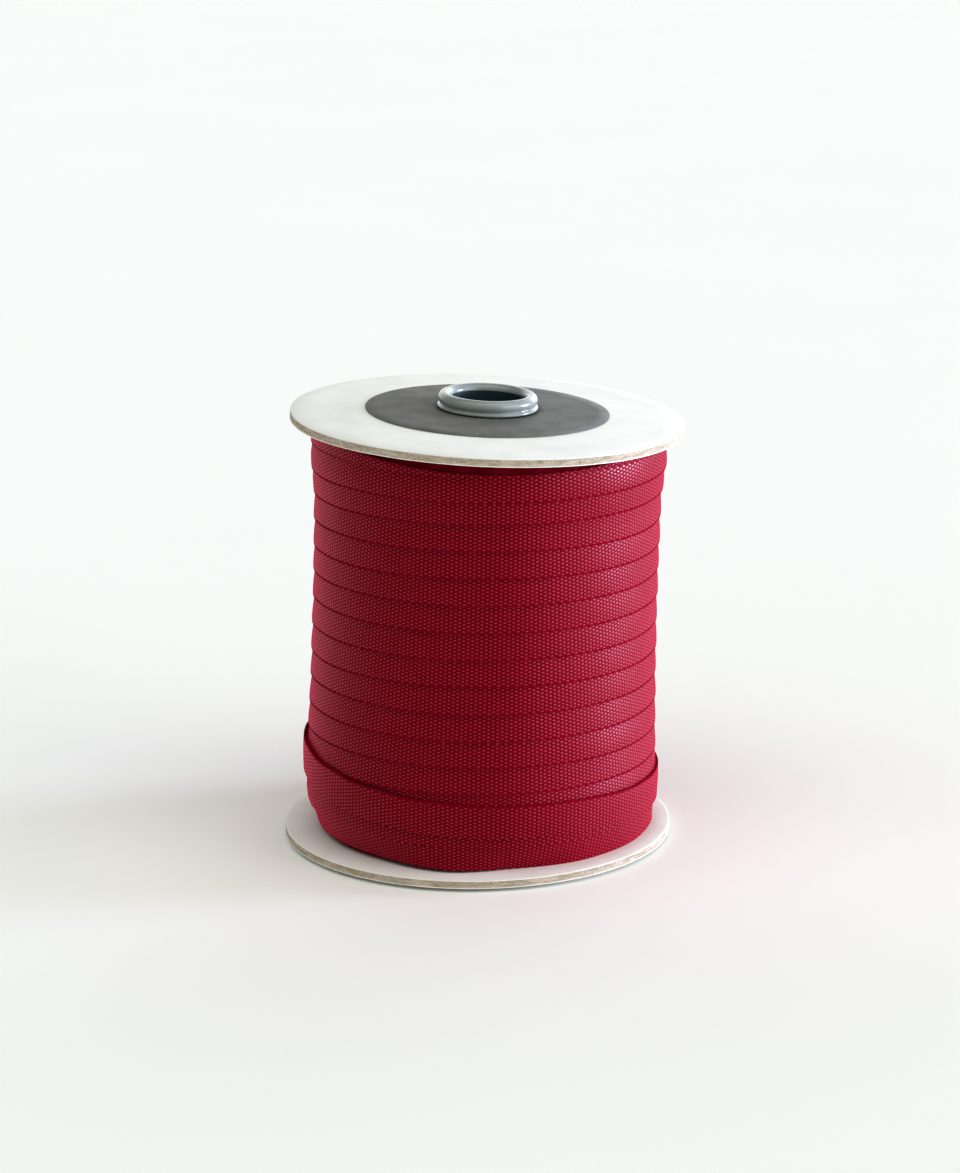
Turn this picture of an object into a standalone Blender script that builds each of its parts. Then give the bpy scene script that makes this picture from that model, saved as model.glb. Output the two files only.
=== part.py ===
"""A spool of narrow cotton ribbon: two board discs on a plastic tube, and the ribbon wound between them.

The spool stands on the tube's lower flange. Its tube leans a little to +X, the upper disc sits
askew on it, and the ribbon climbs the roll in overlapping turns, with its last turn loose at the foot.
"""
import math

import bmesh
import bpy
from mathutils import Vector

MM = 0.001

# Driving dimensions
DISC_RADIUS = 38.1 * MM
BOARD = 1.6 * MM
GAP = 0.3 * MM
SPOOL_HEIGHT = 82.9 * MM
LEAN = math.radians(2.06)
UPPER_TILT = math.radians(3.0)
DISH = 1.17 * MM
RIBBON_WIDTH = 6.6 * MM
TURN_PITCH = 5.25 * MM
TURN_LIP = 0.45 * MM

# Tube and label
TUBE_RADIUS = 8.4 * MM
BORE_RADIUS = 7.15 * MM
FLANGE_RADIUS = 12.0 * MM
FLANGE_THICK = 0.45 * MM
LABEL_RADIUS = 23.6 * MM
LABEL_THICK = 0.25 * MM
HOLE_RADIUS = TUBE_RADIUS + GAP

# Levels along the axis, from the floor
DISC_FOOT = FLANGE_THICK + GAP
DISC_TOP = DISC_FOOT + BOARD
UPPER_FACE = DISC_TOP + SPOOL_HEIGHT
LABEL_FOOT = UPPER_FACE + GAP
COLLAR_FOOT = LABEL_FOOT + LABEL_THICK + GAP

# The collar above its foot: a round bead from the bore over the crest, and the lip under it: radius, height
BEAD_RADIUS = 1.24 * MM
BEAD_CENTRE = (BORE_RADIUS + BEAD_RADIUS, 1.16 * MM)
BEAD_ENDS = (180, -30)
BEAD_STEPS = 8
COLLAR_LIP = (
    (9.42 * MM, 0.42 * MM),
    (9.73 * MM, 0.28 * MM),
    (9.73 * MM, 0.0),
)

# The wound form: height above the lower disc, radius of the roll there
ROLL_FORM = (
    (13.0, 34.05),
    (20.0, 33.80),
    (34.0, 33.40),
    (48.0, 33.25),
    (66.0, 33.30),
    (70.0, 33.70),
    (74.0, 34.10),
    (82.0, 34.10),
)

# A turn's section, from its lower edge up: share of the pitch, share of the lip
TURN_FORM = (
    (0.00, 1.00),
    (0.12, 0.90),
    (0.55, 0.35),
    (0.95, 0.00),
)

# Height of the first full turn's lower edge at the front, above the lower disc
FIRST_EDGE = 15.7 * MM

# The step under an edge, the ledge above the loose turn, and how near an edge a row folds into it
UNDER_EDGE = 0.1 * MM
LEDGE_RISE = 0.12 * MM
LEDGE_LIP = 0.2 * MM
FOLD_REACH = 0.25 * MM

# How far out the foot of the roll has come half way up to the loose turn
FOOT_BULGE = 0.65

# The loose last turn's upper edge round the roll: angle from +X in degrees, height, radius
LOOSE_TURN = (
    (-170, 17.2, 35.4),
    (-150, 15.9, 35.3),
    (-130, 14.7, 35.1),
    (-110, 14.0, 35.0),
    (-90, 13.7, 34.9),
    (-60, 13.8, 34.9),
    (-30, 13.2, 35.0),
    (0, 12.9, 35.1),
    (30, 13.3, 35.0),
    (60, 14.6, 34.9),
    (90, 16.4, 34.9),
    (120, 17.8, 35.0),
    (150, 18.1, 35.2),
)

# The foot of the roll on the lower disc: angle from +X in degrees, radius
ROLL_FOOT = (
    (-156, 33.0),
    (-130, 32.0),
    (-101, 33.8),
    (-77, 31.8),
    (-50, 33.0),
    (-20, 33.6),
    (0, 34.2),
    (60, 32.8),
    (120, 33.2),
)

# Colours and roughness
PAPER_WHITE = (0.84, 0.84, 0.82)
PAPER_ROUGHNESS = 0.75
LABEL_GREY = (0.09, 0.09, 0.085)
TUBE_BLUE_GREY = (0.27, 0.32, 0.32)
TUBE_ROUGHNESS = 0.3
COTTON_CRIMSON = (0.30, 0.008, 0.035)
COTTON_ROUGHNESS = 0.85

# How finely the round pieces are divided
DISC_STEPS = 72
TUBE_STEPS = 48
ROLL_STEPS = 60


def upper_disc_centre():
    """The centre of the upper disc's top face, on the leaning axis."""
    return Vector((axis_x(UPPER_FACE), 0, UPPER_FACE))


def axis_x(height):
    """Where the leaning axis is at a height above the floor, before the whole is centred."""
    return height * math.tan(LEAN)


# The middle of the outer box lies between the lower disc's left edge and the upper disc's right one
LEFT_REACH = DISC_RADIUS - axis_x(DISC_FOOT)
RIGHT_RIM = DISC_RADIUS * math.cos(UPPER_TILT) - DISH * math.sin(UPPER_TILT)
RIGHT_REACH = axis_x(UPPER_FACE) + RIGHT_RIM
FOOT_X = (LEFT_REACH - RIGHT_REACH) / 2


def between(rows, at, column):
    """A smooth value from a table sorted by its first column."""
    for low, high in zip(rows, rows[1:]):
        if at <= high[0]:
            share = max(0.0, (at - low[0]) / (high[0] - low[0]))
            share = share * share * (3 - 2 * share)
            return low[column] + (high[column] - low[column]) * share
    return rows[-1][column]


def round_table(rows, angle, column):
    """The same from a table that goes once round, for an angle in degrees."""
    first = rows[0]
    closed = rows + ((first[0] + 360,) + first[1:],)
    return between(closed, (angle - first[0]) % 360 + first[0], column)


def start_clean():
    """Remove every object and make the spool's collection."""
    for old in list(bpy.data.objects):
        bpy.data.objects.remove(old, do_unlink=True)
    spool = bpy.data.collections.new("ribbon_spool")
    bpy.context.scene.collection.children.link(spool)
    return spool


def finish(name, colour, roughness):
    """A plain finish for one piece."""
    made = bpy.data.materials.new(name)
    made.use_nodes = True
    shader = made.node_tree.nodes["Principled BSDF"]
    shader.inputs["Base Color"].default_value = (*colour, 1)
    shader.inputs["Roughness"].default_value = roughness
    shader.inputs["Metallic"].default_value = 0.0
    return made


def smooth_piece(mesh, angle):
    """Smooth shading with sharp edges kept."""
    mesh.shade_smooth()
    mesh.set_sharp_from_angle(angle=math.radians(angle))


def turned(name, outline, steps, collection):
    """A closed outline of (radius, height) turned about Z with a Screw modifier."""
    mesh = bpy.data.meshes.new(name)
    points = [(radius, 0, height) for radius, height in outline]
    edges = [(i, (i + 1) % len(points)) for i in range(len(points))]
    mesh.from_pydata(points, edges, [])
    piece = bpy.data.objects.new(name, mesh)
    collection.objects.link(piece)
    screw = piece.modifiers.new("turn", "SCREW")
    screw.axis = "Z"
    screw.angle = math.tau
    screw.steps = steps
    screw.render_steps = steps
    screw.use_merge_vertices = True
    screw.merge_threshold = 0.00001
    screw.use_smooth_shade = True
    return piece


def dished_ring(inner, outer, foot, top, parts):
    """Outline of a flat ring whose rim droops: down its outer side, back to the hole."""
    radii = [inner + (outer - inner) * i / parts for i in range(parts + 1)]
    droop = [DISH * (radius / DISC_RADIUS) ** 2 for radius in radii]
    upper = [(radius, top - low) for radius, low in zip(radii, droop)]
    lower = [(radius, foot - low) for radius, low in zip(radii, droop)]
    return upper + lower[::-1]


def make_lower_disc(collection):
    """The flat lower disc, held up by the tube's flange."""
    outline = [
        (HOLE_RADIUS, DISC_TOP),
        (DISC_RADIUS, DISC_TOP),
        (DISC_RADIUS, DISC_FOOT),
        (HOLE_RADIUS, DISC_FOOT),
    ]
    disc = turned("disc_lower", outline, DISC_STEPS, collection)
    disc.location = (FOOT_X + axis_x(DISC_FOOT), 0, 0)
    disc.data.materials.append(finish("board_lower", PAPER_WHITE, PAPER_ROUGHNESS))
    return disc


def seat_on_axis(piece):
    """Tilt a piece of the upper end about the middle of the upper face."""
    piece.location = upper_disc_centre() + Vector((FOOT_X, 0, 0))
    piece.rotation_euler = (0, UPPER_TILT, 0)


def make_upper_disc(collection):
    """The upper disc, dished and askew."""
    outline = dished_ring(HOLE_RADIUS, DISC_RADIUS, -BOARD, 0, 4)
    disc = turned("disc_upper", outline, DISC_STEPS, collection)
    seat_on_axis(disc)
    disc.data.materials.append(finish("board_upper", PAPER_WHITE, PAPER_ROUGHNESS))
    return disc


def make_label(collection):
    """The paper ring glued on the upper disc round the tube."""
    foot = LABEL_FOOT - UPPER_FACE
    outline = dished_ring(HOLE_RADIUS, LABEL_RADIUS, foot, foot + LABEL_THICK, 2)
    label = turned("label_ring", outline, DISC_STEPS, collection)
    seat_on_axis(label)
    label.data.materials.append(finish("label_paper", LABEL_GREY, PAPER_ROUGHNESS))
    return label


def make_tube(collection):
    """The tube with its rolled collar above and its flat flange below, bent to the spool's lean."""
    first, last = (math.radians(end) for end in BEAD_ENDS)
    turns = [first + (last - first) * i / BEAD_STEPS for i in range(BEAD_STEPS + 1)]
    bead = [
        (
            BEAD_CENTRE[0] + BEAD_RADIUS * math.cos(turn),
            COLLAR_FOOT + BEAD_CENTRE[1] + BEAD_RADIUS * math.sin(turn),
        )
        for turn in turns
    ]
    lip = [(radius, COLLAR_FOOT + height) for radius, height in COLLAR_LIP]
    wall = [
        (TUBE_RADIUS, COLLAR_FOOT),
        (TUBE_RADIUS, COLLAR_FOOT * 2 / 3),
        (TUBE_RADIUS, COLLAR_FOOT / 3),
        (TUBE_RADIUS, FLANGE_THICK),
        (FLANGE_RADIUS, FLANGE_THICK),
        (FLANGE_RADIUS, 0),
        (BORE_RADIUS, 0),
        (BORE_RADIUS, COLLAR_FOOT / 3),
        (BORE_RADIUS, COLLAR_FOOT * 2 / 3),
    ]
    form = bmesh.new()
    ring = [form.verts.new((radius, 0, height)) for radius, height in bead + lip + wall]
    lines = [form.edges.new((ring[i - 1], ring[i])) for i in range(len(ring))]
    bmesh.ops.spin(
        form,
        geom=ring + lines,
        cent=(0, 0, 0),
        axis=(0, 0, 1),
        angle=math.tau,
        steps=TUBE_STEPS,
        use_merge=True,
    )
    bmesh.ops.remove_doubles(form, verts=form.verts, dist=0.000001)
    bmesh.ops.recalc_face_normals(form, faces=form.faces)
    for point in form.verts:
        x, y, z = point.co
        askew = x * math.tan(UPPER_TILT) * z / UPPER_FACE
        point.co = (x + axis_x(z), y, z - askew)
    mesh = bpy.data.meshes.new("core_tube")
    form.to_mesh(mesh)
    form.free()
    smooth_piece(mesh, 40)
    tube = bpy.data.objects.new("core_tube", mesh)
    collection.objects.link(tube)
    tube.location = (FOOT_X, 0, 0)
    mesh.materials.append(finish("tube_plastic", TUBE_BLUE_GREY, TUBE_ROUGHNESS))
    return tube


class RollColumn:
    """The levels of the roll at one angle, in the leaning axis's own frame."""

    def __init__(self, angle):
        self.angle = angle
        degrees = math.degrees(angle)
        self.loose_top = DISC_TOP + round_table(LOOSE_TURN, degrees, 1) * MM
        self.loose_radius = round_table(LOOSE_TURN, degrees, 2) * MM
        self.foot_radius = round_table(ROLL_FOOT, degrees, 1) * MM
        self.foot = self.lower_face(self.foot_radius)
        self.top_radius = roll_radius(SPOOL_HEIGHT - BOARD, 0)
        self.top = self.upper_face(self.top_radius)

    def lower_face(self, radius):
        """Just above the lower disc, which is level while the axis leans."""
        return (DISC_TOP + GAP) / math.cos(LEAN) + radius * math.cos(self.angle) * math.tan(LEAN)

    def upper_face(self, radius):
        """Just below the upper disc, which is askew to the axis and dished."""
        across = radius * math.cos(self.angle) * math.tan(UPPER_TILT - LEAN)
        droop = DISH * (radius / DISC_RADIUS) ** 2
        return (UPPER_FACE / math.cos(LEAN)) - BOARD - GAP - across - droop

    def at(self, radius, height):
        """A point at this angle."""
        return (radius * math.cos(self.angle), radius * math.sin(self.angle), height)

    def foot_rows(self):
        """The rows from the lower disc to the loose turn's upper edge."""
        low = self.loose_top - RIBBON_WIDTH
        under = self.loose_radius - TURN_LIP
        middle = (self.foot + low) / 2
        bulge = self.foot_radius + (under - self.foot_radius) * FOOT_BULGE
        return [
            self.at(self.foot_radius, self.foot),
            self.at(bulge, middle),
            self.at(under, low - UNDER_EDGE),
            self.at(self.loose_radius - UNDER_EDGE, low),
            self.at(self.loose_radius, (low + self.loose_top) / 2),
            self.at(self.loose_radius, self.loose_top),
        ]


def roll_radius(height, lip):
    """The roll's radius at a height above the lower disc."""
    return between(ROLL_FORM, height / MM, 1) * MM + lip


def make_roll(collection):
    """The wound ribbon: one solid whose outside climbs in overlapping turns.

    Every column has the same rows. A row belongs to the climbing turns, so after once round it
    has risen by one turn, and the last column joins the first one turn further up. Rows that
    would lie under the loose turn or above the upper disc fold into the edge there.
    """
    turn_rows = len(TURN_FORM)
    turns = int((SPOOL_HEIGHT - FIRST_EDGE) / TURN_PITCH) + 3
    form = bmesh.new()
    columns = []
    for step in range(ROLL_STEPS):
        share = step / ROLL_STEPS
        column = RollColumn(math.radians(90) + share * math.tau)
        foot = [form.verts.new(point) for point in column.foot_rows()]
        ledge = column.loose_top + LEDGE_RISE
        ledge_radius = roll_radius(ledge - DISC_TOP, LEDGE_LIP)
        ledge_point = form.verts.new(column.at(ledge_radius, ledge))
        top_point = form.verts.new(column.at(column.top_radius, column.top))
        climb = []
        for row in range(turns * turn_rows):
            part, lip = TURN_FORM[row % turn_rows]
            turn = row // turn_rows - 1 + part + share - 0.5
            height = DISC_TOP + FIRST_EDGE + turn * TURN_PITCH
            if height < ledge + FOLD_REACH:
                climb.append(ledge_point)
            elif height > column.top - FOLD_REACH:
                climb.append(top_point)
            else:
                radius = roll_radius(height - DISC_TOP, lip * TURN_LIP)
                climb.append(form.verts.new(column.at(radius, height)))
        inner_top = form.verts.new(column.at(HOLE_RADIUS, column.upper_face(HOLE_RADIUS)))
        inner_foot = form.verts.new(column.at(HOLE_RADIUS, column.lower_face(HOLE_RADIUS)))
        columns.append((foot, ledge_point, climb, top_point, inner_top, inner_foot))

    def join(left, right, shift):
        """Faces between two neighbouring columns."""
        foot, ledge_point, climb, top_point, inner_top, inner_foot = left
        foot_2, ledge_2, climb_2, top_2, inner_top_2, inner_foot_2 = right
        near = foot + [ledge_point] + climb + [top_point, inner_top, inner_foot]
        moved = climb_2[shift:] + [top_2] * shift
        far = foot_2 + [ledge_2] + moved + [top_2, inner_top_2, inner_foot_2]
        for i in range(len(near)):
            corners = [near[i - 1], far[i - 1], far[i], near[i]]
            distinct = list(dict.fromkeys(corners))
            if len(distinct) > 2:
                form.faces.new(distinct)

    for step in range(ROLL_STEPS - 1):
        join(columns[step], columns[step + 1], 0)
    join(columns[-1], columns[0], turn_rows)
    bmesh.ops.recalc_face_normals(form, faces=form.faces)
    mesh = bpy.data.meshes.new("ribbon_roll")
    form.to_mesh(mesh)
    form.free()
    smooth_piece(mesh, 30)
    roll = bpy.data.objects.new("ribbon_roll", mesh)
    collection.objects.link(roll)
    roll.location = (FOOT_X, 0, 0)
    roll.rotation_euler = (0, LEAN, 0)
    mesh.materials.append(finish("ribbon_cotton", COTTON_CRIMSON, COTTON_ROUGHNESS))
    return roll


def main():
    """Make the spool."""
    collection = start_clean()
    make_tube(collection)
    make_lower_disc(collection)
    make_roll(collection)
    make_upper_disc(collection)
    make_label(collection)


main()
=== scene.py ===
"""The looks of a spool of crimson cotton ribbon.

The outer turns of the roll are laid as real lengths of ribbon, one length that climbs from the
lower board to the upper one and one loose turn over its foot. Their weave follows each length in
picks and ends. Round them come the boards with their cut edges, the paper ring and the tube's collar.
"""
import math

import bmesh
import bpy
from mathutils import Matrix, Vector, noise


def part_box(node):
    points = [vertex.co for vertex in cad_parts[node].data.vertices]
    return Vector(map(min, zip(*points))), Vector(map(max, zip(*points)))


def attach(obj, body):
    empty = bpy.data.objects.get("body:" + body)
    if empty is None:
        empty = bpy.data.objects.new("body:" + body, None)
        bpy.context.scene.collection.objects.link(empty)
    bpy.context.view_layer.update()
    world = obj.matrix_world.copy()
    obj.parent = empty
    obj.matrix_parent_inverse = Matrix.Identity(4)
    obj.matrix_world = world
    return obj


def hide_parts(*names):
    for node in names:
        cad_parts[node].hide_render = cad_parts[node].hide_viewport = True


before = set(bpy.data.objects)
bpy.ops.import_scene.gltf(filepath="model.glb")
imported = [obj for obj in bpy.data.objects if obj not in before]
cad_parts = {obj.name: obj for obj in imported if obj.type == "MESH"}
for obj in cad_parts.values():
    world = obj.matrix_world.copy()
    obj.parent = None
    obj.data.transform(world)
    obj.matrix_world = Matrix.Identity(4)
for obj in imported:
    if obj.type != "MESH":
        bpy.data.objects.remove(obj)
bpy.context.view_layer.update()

MM = 0.001

# The lower board, as the frame has it
LOWER_LOW, LOWER_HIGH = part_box("disc_lower")
DISC_RADIUS = (LOWER_HIGH.x - LOWER_LOW.x) / 2
DISC_FOOT = LOWER_LOW.z
DISC_TOP = LOWER_HIGH.z
BOARD = DISC_TOP - DISC_FOOT
LOWER_CENTRE_X = (LOWER_LOW.x + LOWER_HIGH.x) / 2

# The same measures as in the part: the lean of the tube and the roll, the tilt of the upper board,
# the droop of its rim, and how far its face is above the lower board's
LEAN = math.radians(2.06)
UPPER_TILT = math.radians(3.0)
DISH = 1.17 * MM
SPOOL_HEIGHT = 82.9 * MM
UPPER_FACE = DISC_TOP + SPOOL_HEIGHT
FOOT_X = LOWER_CENTRE_X - DISC_FOOT * math.tan(LEAN)

# Tube, boards and paper ring
TUBE_RADIUS = 8.4 * MM
BORE_RADIUS = 7.15 * MM
FLANGE_RADIUS = 12.0 * MM
FLANGE_THICK = 0.45 * MM
HOLE_RADIUS = 8.7 * MM
LABEL_RADIUS = 23.6 * MM
LABEL_THICK = 0.16 * MM
LABEL_LIFT = 0.06 * MM
LABEL_RINGS = 6
LABEL_STEPS = 192
GLUE = 0.02 * MM
BOARD_RINGS = 9
BOARD_STEPS = 288
RIM_BAND = 0.25 * MM
UPPER_PAPER = 0.18 * MM
LOWER_PAPER = 0.165 * MM
TUBE_STEPS = 144
COLLAR_FOOT = UPPER_FACE + 0.85 * MM

# How uneven the paper ring is, a board's face, its cut edge, its papered edges, and its ragged lower
# paper outwards and upwards
LABEL_WARP = 0.03 * MM
BOARD_WARP = 0.10 * MM
CUT_ROUGH = 0.05 * MM
PAPER_ROUGH = 0.025 * MM
RAGGED_OUT = 0.05 * MM
RAGGED_UP = 0.035 * MM

# The ribbon
RIBBON_WIDTH = 6.6 * MM
RIBBON_THICK = 0.34 * MM
PICKS_A_TURN = 250
ENDS = 19
STEPS_A_TURN = 2 * PICKS_A_TURN
LEAST_SPAN = 0.02 * MM
SELVEDGE_LOOP = 0.07 * MM
SELVEDGE_BAND = 0.07
ROLL_SHIFT = 0.4 * MM
ROLL_TOP_RADIUS = 34 * MM

# How far a turn's lower edge stands out over the turn below, the share of it at the roll's foot,
# and the height over which it grows above the foot
TURN_LIP = 0.42 * MM
FOOT_LIP = 0.35
LIP_GROWS = 2 * MM

# A section of ribbon, once round it from the lower selvedge: share of its width, share of its thickness
CLIMB_SECTION = (
    (0.000, 0.00),
    (0.065, 0.00),
    (0.160, 0.00),
    (0.400, 0.00),
    (0.620, 0.00),
    (0.800, 0.00),
    (1.000, 0.30),
    (0.900, 1.00),
    (0.000, 1.00),
)
LOOSE_SECTION = (
    (0.000, 0.00),
    (0.065, 0.00),
    (0.160, 0.00),
    (0.330, 0.00),
    (0.500, 0.00),
    (0.670, 0.00),
    (0.840, 0.00),
    (0.935, 0.00),
    (1.000, 0.00),
    (1.000, 1.00),
    (0.500, 1.00),
    (0.000, 1.00),
)

# How a turn leans back over the one below: share of a turn's pitch from its lower edge, share of the lip
SHINGLE = (
    (0.00, 0.93),
    (0.10, 1.00),
    (0.35, 0.90),
    (0.65, 0.55),
    (0.90, 0.12),
    (1.00, 0.00),
    (1.26, -0.25),
)

# Height in mm of each turn's lower edge above the lower board, from the turn on the board up:
# 60 degrees left of the front, at the front and 60 degrees right of it
TURN_EDGES = (
    (0.35, 0.35, 0.40),
    (4.40, 5.20, 6.00),
    (9.55, 10.40, 11.20),
    (14.90, 15.70, 16.35),
    (19.96, 20.80, 21.46),
    (25.11, 25.93, 26.73),
    (30.42, 31.17, 31.88),
    (35.50, 36.55, 37.20),
    (40.77, 41.85, 42.37),
    (46.24, 47.10, 47.61),
    (51.51, 52.40, 52.80),
    (56.50, 57.58, 57.89),
    (61.83, 62.80, 63.17),
    (66.85, 68.15, 68.45),
    (71.47, 72.32, 72.93),
    (76.85, 77.35, 77.90),
    (81.50, 82.60, 83.40),
)
# The same as pairs of a place, counted in turns from the back seam of the first, and a height
EDGE_PLACES = tuple(
    (turn + (side + 2) / 6, height)
    for turn, heights in enumerate(TURN_EDGES)
    for side, height in enumerate(heights)
)
TURN_PITCH = 5.25 * MM
# The first turn starts at the right, under the next one. It lies a little deeper from there
# round the back to the front left, and comes out over the last tenth of a turn of that
FIRST_TURN = -0.2
DEEPER = 0.35 * MM
DEEPER_UNTIL = 0.36
DEEPER_FADES = 0.1
LAST_TURN = 16.0
# The last turns stop short of the upper board: least and how much more at most, in mm, and where the
# most is, in degrees from +X
HEADROOM_LEAST = 0.15
HEADROOM_MORE = 2.55
HEADROOM_MOST_AT = -94

# The roll in mm: height above the lower board, radius of the turns there
ROLL_FORM = (
    (0.0, 33.6),
    (6.0, 34.3),
    (13.0, 34.05),
    (20.0, 33.80),
    (34.0, 33.40),
    (48.0, 33.25),
    (66.0, 33.30),
    (70.0, 33.70),
    (74.0, 34.05),
    (82.0, 33.95),
)

# The roll's foot on the lower board: angle from +X in degrees, radius in mm
ROLL_FOOT = (
    (-156, 32.2),
    (-130, 32.0),
    (-101, 33.8),
    (-77, 31.8),
    (-50, 33.0),
    (-20, 33.6),
    (0, 34.2),
    (60, 32.8),
    (120, 32.7),
)
FOOT_DEPTH = 7 * MM

# The body under the turns, in mm: height and radius at its foot, heights of its rings above the foot,
# and its radius at the top
BODY_FOOT = ((0.1, 31.2), (3, 32.4))
BODY_RINGS = (6, 10, 20, 34, 48, 60, 70, 76)
BODY_TOP_RADIUS = 33.0
BODY_UNDER = 0.9 * MM
BODY_TOP_GAP = 0.3 * MM
BODY_TOP_FROM = 78 * MM
BODY_FOOT_LIFT = 0.2 * MM
BODY_STEPS = 96

# The loose turn's upper edge: angle from +X in degrees, height and radius in mm
LOOSE_TURN = (
    (-170, 17.0, 35.20),
    (-150, 15.8, 35.20),
    (-130, 14.7, 35.10),
    (-110, 14.0, 35.00),
    (-90, 13.7, 34.9),
    (-60, 13.8, 34.9),
    (-30, 13.2, 35.0),
    (0, 12.9, 35.1),
    (30, 13.3, 35.0),
    (60, 14.6, 34.9),
    (90, 16.4, 34.9),
    (120, 17.6, 34.9),
    (150, 17.8, 35.0),
)
# Behind, between these two angles, it comes down from under a higher turn, and a full turn later its
# end goes in under its start
LOOSE_START = 20
LOOSE_MEETS = 130
LOOSE_RISE = 12 * MM
LOOSE_UNDER = 0.3 * MM
LOOSE_SINK = 0.45 * MM
LOOSE_TUCK = 0.35 * MM
LOOSE_DIVE = 0.8 * MM
LOOSE_INSET = 0.12 * MM
LOOSE_SAG = 0.10 * MM
TURN_OVER_LOOSE = 4


def share_of(value):
    """A value kept between 0 and 1."""
    return min(1.0, max(0.0, value))


def between(rows, at, column):
    """A smooth value from a table sorted by its first column."""
    for low, high in zip(rows, rows[1:]):
        if at <= high[0]:
            share = max(0.0, (at - low[0]) / (high[0] - low[0]))
            share = share * share * (3 - 2 * share)
            return low[column] + (high[column] - low[column]) * share
    return rows[-1][column]


def straight_between(rows, at):
    """A value from a table of two columns, along straight lines."""
    for low, high in zip(rows, rows[1:]):
        if at <= high[0]:
            return low[1] + (high[1] - low[1]) * (at - low[0]) / (high[0] - low[0])
    return rows[-1][1]


def round_table(rows, angle, column):
    """A smooth value from a table that goes once round, for an angle in degrees."""
    first = rows[0]
    closed = rows + ((first[0] + 360,) + first[1:],)
    return between(closed, (angle - first[0]) % 360 + first[0], column)


def wander(*place):
    """A slow, smooth unevenness from -1 to 1."""
    return noise.noise(Vector(place))


def keep(piece, name_of_slot, *nodes):
    """Put a piece on the object's one body, in place of the frame's nodes that it stands for."""
    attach(piece, "root")
    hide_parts(*nodes)
    return piece


def as_piece(form, name, *finishes):
    """A named object from a bmesh."""
    mesh = bpy.data.meshes.new(name)
    form.to_mesh(mesh)
    form.free()
    mesh.shade_smooth()
    for finish in finishes:
        mesh.materials.append(finish)
    piece = bpy.data.objects.new(name, mesh)
    bpy.context.scene.collection.objects.link(piece)
    return piece


# Shader maths


class Reading:
    """A number read from the surface as it is shaded. Sums on it add Math nodes."""

    def __init__(self, recipe, socket):
        self.recipe = recipe
        self.socket = socket

    def sum(self, operation, *values):
        made = self.recipe.add("ShaderNodeMath", {"operation": operation}, dict(enumerate(values)))
        return Reading(self.recipe, made.outputs[0])

    def __add__(self, other):
        return self.sum("ADD", self, other)

    def __sub__(self, other):
        return self.sum("SUBTRACT", self, other)

    def __rsub__(self, other):
        return self.sum("SUBTRACT", other, self)

    def __mul__(self, other):
        return self.sum("MULTIPLY", self, other)

    def __truediv__(self, other):
        return self.sum("DIVIDE", self, other)

    def __pow__(self, other):
        return self.sum("POWER", self, other)

    __radd__ = __add__
    __rmul__ = __mul__

    def floor(self):
        return self.sum("FLOOR", self)

    def fraction(self):
        return self.sum("FRACT", self)

    def cosine(self):
        return self.sum("COSINE", self)

    def no_less(self, floor):
        return self.sum("MAXIMUM", self, floor)

    def ramp(self, start, end):
        """0 below start, 1 above end, smooth between."""
        made = self.recipe.add(
            "ShaderNodeMapRange",
            {"interpolation_type": "SMOOTHSTEP"},
            {"Value": self, "From Min": start, "From Max": end},
        )
        return Reading(self.recipe, made.outputs["Result"])


class Recipe:
    """The nodes of one finish."""

    def __init__(self, name):
        self.material = bpy.data.materials.new(name)
        self.material.use_nodes = True
        self.tree = self.material.node_tree
        self.shader = self.tree.nodes["Principled BSDF"]
        self.place = self.tree.nodes.new("ShaderNodeTexCoord")

    def add(self, kind, settings=None, sockets=None):
        """A node of a kind, its settings made first, then the values or links of its sockets."""
        made = self.tree.nodes.new(kind)
        for key, value in (settings or {}).items():
            setattr(made, key, value)
        for key, value in (sockets or {}).items():
            self.feed(made.inputs[key], value)
        return made

    def feed(self, socket, value):
        """A link or a fixed value into a socket."""
        if isinstance(value, Reading):
            value = value.socket
        if isinstance(value, bpy.types.NodeSocket):
            self.tree.links.new(value, socket)
        else:
            socket.default_value = value

    def set(self, **values):
        """Values or links of the surface shader, its sockets named with underscores for spaces."""
        for key, value in values.items():
            self.feed(self.shader.inputs[key.replace("_", " ")], value)

    def apart(self, vector):
        """The three readings of a vector."""
        made = self.add("ShaderNodeSeparateXYZ", sockets={0: vector})
        return [Reading(self, socket) for socket in made.outputs]

    def grain(self, scale, detail=2.0, vector=None, stretch=(1, 1, 1), roughness=0.5):
        """Noise as a reading from 0 to 1, stretched along the axes."""
        where = vector or self.place.outputs["Object"]
        sized = self.add("ShaderNodeMapping", sockets={"Vector": where, "Scale": stretch})
        made = self.add(
            "ShaderNodeTexNoise",
            sockets={
                "Vector": sized.outputs[0],
                "Scale": scale,
                "Detail": detail,
                "Roughness": roughness,
            },
        )
        return Reading(self, made.outputs[0])

    def specks(self, scale, size, share):
        """1 on sparse small specks, 0 elsewhere: a share of the cells of a pattern have one."""
        made = self.add(
            "ShaderNodeTexVoronoi",
            sockets={"Vector": self.place.outputs["Object"], "Scale": scale},
        )
        chance = self.apart(made.outputs["Color"])[0]
        distance = Reading(self, made.outputs["Distance"])
        return (1 - distance.ramp(size * 0.7, size)) * (1 - chance.ramp(share * 0.98, share * 1.02))

    def blend(self, share, first, second, way="MIX"):
        """A colour mixed from two by a share."""
        made = self.add(
            "ShaderNodeMix",
            {"data_type": "RGBA", "blend_type": way, "clamp_factor": True},
            {0: share, 6: self.colour(first), 7: self.colour(second)},
        )
        return made.outputs[2]

    def colour(self, value):
        """A colour socket, or three numbers as four."""
        return (*value, 1) if isinstance(value, tuple) else value

    def bump(self, height, distance, strength=1.0):
        """A relief of a height that goes from 0 to 1, over a distance in metres."""
        sockets = {"Height": height, "Distance": distance, "Strength": strength}
        return self.add("ShaderNodeBump", sockets=sockets).outputs[0]


# Finishes

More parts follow.
